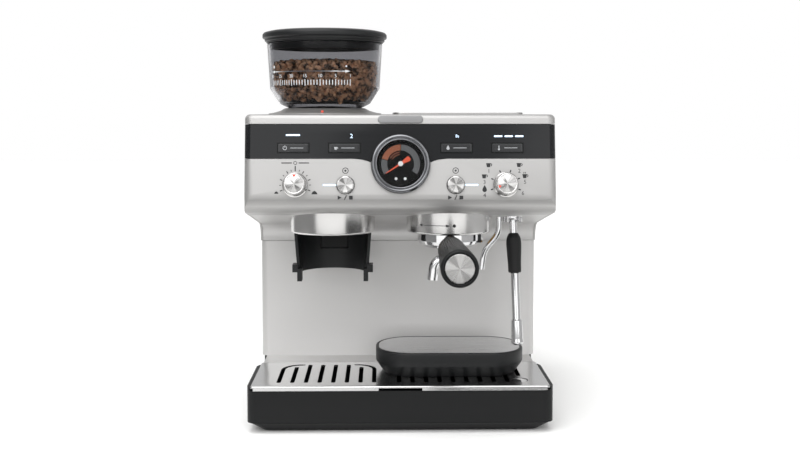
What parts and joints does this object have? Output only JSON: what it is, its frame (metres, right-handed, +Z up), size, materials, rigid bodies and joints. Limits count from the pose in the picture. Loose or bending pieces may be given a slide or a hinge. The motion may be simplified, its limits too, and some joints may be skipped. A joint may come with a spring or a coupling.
{
  "type": "espresso machine",
  "caption": "Countertop espresso machine with a bean hopper and grinder, pressure gauge, portafilter, steam wand, drip tray and rear water tank.",
  "frame": {"origin": "on the worktop, under the middle of the overall box", "axes": "+Z up, -Y towards the user, +X to the user's right"},
  "size_m": [0.31, 0.3998, 0.414],
  "materials": {
    "brushed_steel": "satin, fine brushing",
    "silver_paint": "fine metallic satin",
    "chrome": "polished",
    "steel": "plain pressed steel",
    "black_plastic": "fine moulded grain",
    "gloss_black": "gloss",
    "dark_lid": "satin moulded",
    "clear_smoke": "clear smoked plastic",
    "gauge_glass": "clear flat glass",
    "lens": "lit diffuser",
    "dial_black": "printed dial",
    "needle_red": "satin enamel",
    "rubber": "matte",
    "brass": "cast and machined",
    "aluminium": "die cast",
    "board_green": "circuit board",
    "burr_steel": "hardened and ground",
    "white_plastic": "moulded"
  },
  "bodies": {
    "housing": {"base_pan": "black_plastic", "rubber_feet": "rubber", "chassis_frame": "steel", "side_panel_left": "silver_paint", "side_panel_right": "silver_paint", "rear_panel": "silver_paint", "back_wall": "silver_paint", "under_panel": "silver_paint", "front_panel": "silver_paint", "control_band": "gloss_black", "top_cover": "silver_paint", "cup_warmer_plate": "brushed_steel", "case_screws": "steel", "power_inlet": "black_plastic", "gauge_case": "dial_black", "gauge_bezel": "chrome", "gauge_glass": "gauge_glass", "indicator_lenses": "lens", "control_board": "board_green", "hopper_collar": "brushed_steel", "grinder_housing": "black_plastic", "grinder_gearbox": "black_plastic", "grinder_motor": "steel", "outlet_ring": "brushed_steel", "portafilter_cradle": "black_plastic", "group_shroud": "chrome", "group_head": "brass", "group_gasket": "rubber", "shower_screen": "steel", "boiler": "aluminium", "water_pump": "black_plastic", "hot_water_tube": "chrome"},
    "needle": {"gauge_needle": "needle_red"},
    "dose_dial": {"dose_knob": "brushed_steel"},
    "mode_dial": {"mode_knob": "brushed_steel"},
    "grind_key": {"grind_button": "brushed_steel"},
    "brew_key": {"brew_button": "brushed_steel"},
    "power_key": {"power_button": "gloss_black"},
    "cups_key": {"cups_button": "gloss_black"},
    "infusion_key": {"infusion_button": "gloss_black"},
    "temperature_key": {"temperature_button": "gloss_black"},
    "hopper": {"hopper_bowl": "clear_smoke"},
    "lid": {"hopper_lid": "dark_lid"},
    "grind_ring": {"upper_burr": "burr_steel"},
    "grind_cone": {"lower_burr": "burr_steel"},
    "paddle": {"grind_paddle": "black_plastic"},
    "portafilter": {"portafilter_body": "chrome", "filter_basket": "steel", "portafilter_handle": "black_plastic", "handle_cap": "brushed_steel", "portafilter_spout": "chrome"},
    "tank": {"water_tank": "clear_smoke"},
    "tank_cover": {"tank_lid": "dark_lid"},
    "wand_swivel": {"wand_socket": "chrome"},
    "wand": {"steam_wand": "chrome", "wand_grip": "rubber"},
    "tray": {"drip_tray": "black_plastic"},
    "plate": {"drip_plate": "brushed_steel"},
    "float": {"tray_float": "chrome"},
    "platform": {"cup_platform": "black_plastic"}
  },
  "joints": [
    {"name": "needle_sweep", "type": "hinge", "parent": "housing", "child": "needle", "pos_m": [0, -0.09544, 0.272], "axis": [0, -0.9887, 0.1502], "range_deg": [-246, 0]},
    {"name": "dose_turn", "type": "hinge", "parent": "housing", "child": "dose_dial", "pos_m": [-0.104, -0.09856, 0.2515], "axis": [0, -0.9887, 0.1502], "range_deg": [-120, 120]},
    {"name": "mode_turn", "type": "hinge", "parent": "housing", "child": "mode_dial", "pos_m": [0.104, -0.09856, 0.2515], "axis": [0, -0.9887, 0.1502], "range_deg": [-223, 0]},
    {"name": "grind_press", "type": "slide", "parent": "housing", "child": "grind_key", "axis": [0, 0.9887, -0.1502], "range_m": [0, 0.002], "stiffness_N_per_m": 400, "springref_m": -0.002},
    {"name": "brew_press", "type": "slide", "parent": "housing", "child": "brew_key", "axis": [0, 0.9887, -0.1502], "range_m": [0, 0.002], "stiffness_N_per_m": 400, "springref_m": -0.002},
    {"name": "power_press", "type": "slide", "parent": "housing", "child": "power_key", "axis": [0, 0.9887, -0.1502], "range_m": [0, 0.0012], "stiffness_N_per_m": 500, "springref_m": -0.0012},
    {"name": "cups_press", "type": "slide", "parent": "housing", "child": "cups_key", "axis": [0, 0.9887, -0.1502], "range_m": [0, 0.0012], "stiffness_N_per_m": 500, "springref_m": -0.0012},
    {"name": "infusion_press", "type": "slide", "parent": "housing", "child": "infusion_key", "axis": [0, 0.9887, -0.1502], "range_m": [0, 0.0012], "stiffness_N_per_m": 500, "springref_m": -0.0012},
    {"name": "temperature_press", "type": "slide", "parent": "housing", "child": "temperature_key", "axis": [0, 0.9887, -0.1502], "range_m": [0, 0.0012], "stiffness_N_per_m": 500, "springref_m": -0.0012},
    {"name": "paddle_press", "type": "slide", "parent": "housing", "child": "paddle", "axis": [0, 1, 0], "range_m": [0, 0.004], "stiffness_N_per_m": 300, "springref_m": -0.004},
    {"name": "hopper_turn", "type": "hinge", "parent": "housing", "child": "hopper", "pos_m": [-0.081, 0.03, 0.33], "axis": [0, 0, 1], "range_deg": [-29.8, 61.5]},
    {"name": "lid_lift", "type": "slide", "parent": "hopper", "child": "lid", "axis": [0, 0, 1], "range_m": [0, 0.06]},
    {"name": "burr_lift", "type": "slide", "parent": "housing", "child": "grind_ring", "axis": [0, 0, 1], "range_m": [-0.0003, 0.0006]},
    {"name": "burr_spin", "type": "hinge", "parent": "housing", "child": "grind_cone", "pos_m": [-0.081, 0.03, 0.28], "axis": [0, 0, 1], "continuous": true},
    {"name": "portafilter_lock", "type": "hinge", "parent": "housing", "child": "portafilter", "pos_m": [0.0515, -0.035, 0.2], "axis": [0, 0, 1], "range_deg": [-45, 0]},
    {"name": "tank_lift", "type": "slide", "parent": "housing", "child": "tank", "axis": [0, 0, 1], "range_m": [0, 0.27]},
    {"name": "tank_lid_hinge", "type": "hinge", "parent": "tank", "child": "tank_cover", "pos_m": [0, 0.198, 0.3082], "axis": [1, 0, 0], "range_deg": [-100, 0]},
    {"name": "wand_turn", "type": "hinge", "parent": "housing", "child": "wand_swivel", "pos_m": [0.119, -0.035, 0.217], "axis": [0, 0, 1], "range_deg": [0, 60]},
    {"name": "wand_tilt", "type": "hinge", "parent": "wand_swivel", "child": "wand", "pos_m": [0.119, -0.035, 0.217], "axis": [1, 0, 0], "range_deg": [-30, 9]},
    {"name": "tray_slide", "type": "slide", "parent": "housing", "child": "tray", "axis": [0, -1, 0], "range_m": [0, 0.16]},
    {"name": "plate_lift", "type": "slide", "parent": "tray", "child": "plate", "axis": [0, 0, 1], "range_m": [0, 0.005]},
    {"name": "float_rise", "type": "slide", "parent": "tray", "child": "float", "axis": [0, 0, 1], "range_m": [0, 0.008]},
    {"name": "platform_slide", "type": "slide", "parent": "plate", "child": "platform", "axis": [0, -1, 0], "range_m": [0, 0.1]}
  ],
  "couplings": [
    {"joint": "burr_lift", "follows": "hopper_turn", "m_per_rad": 0.0005}
  ]
}
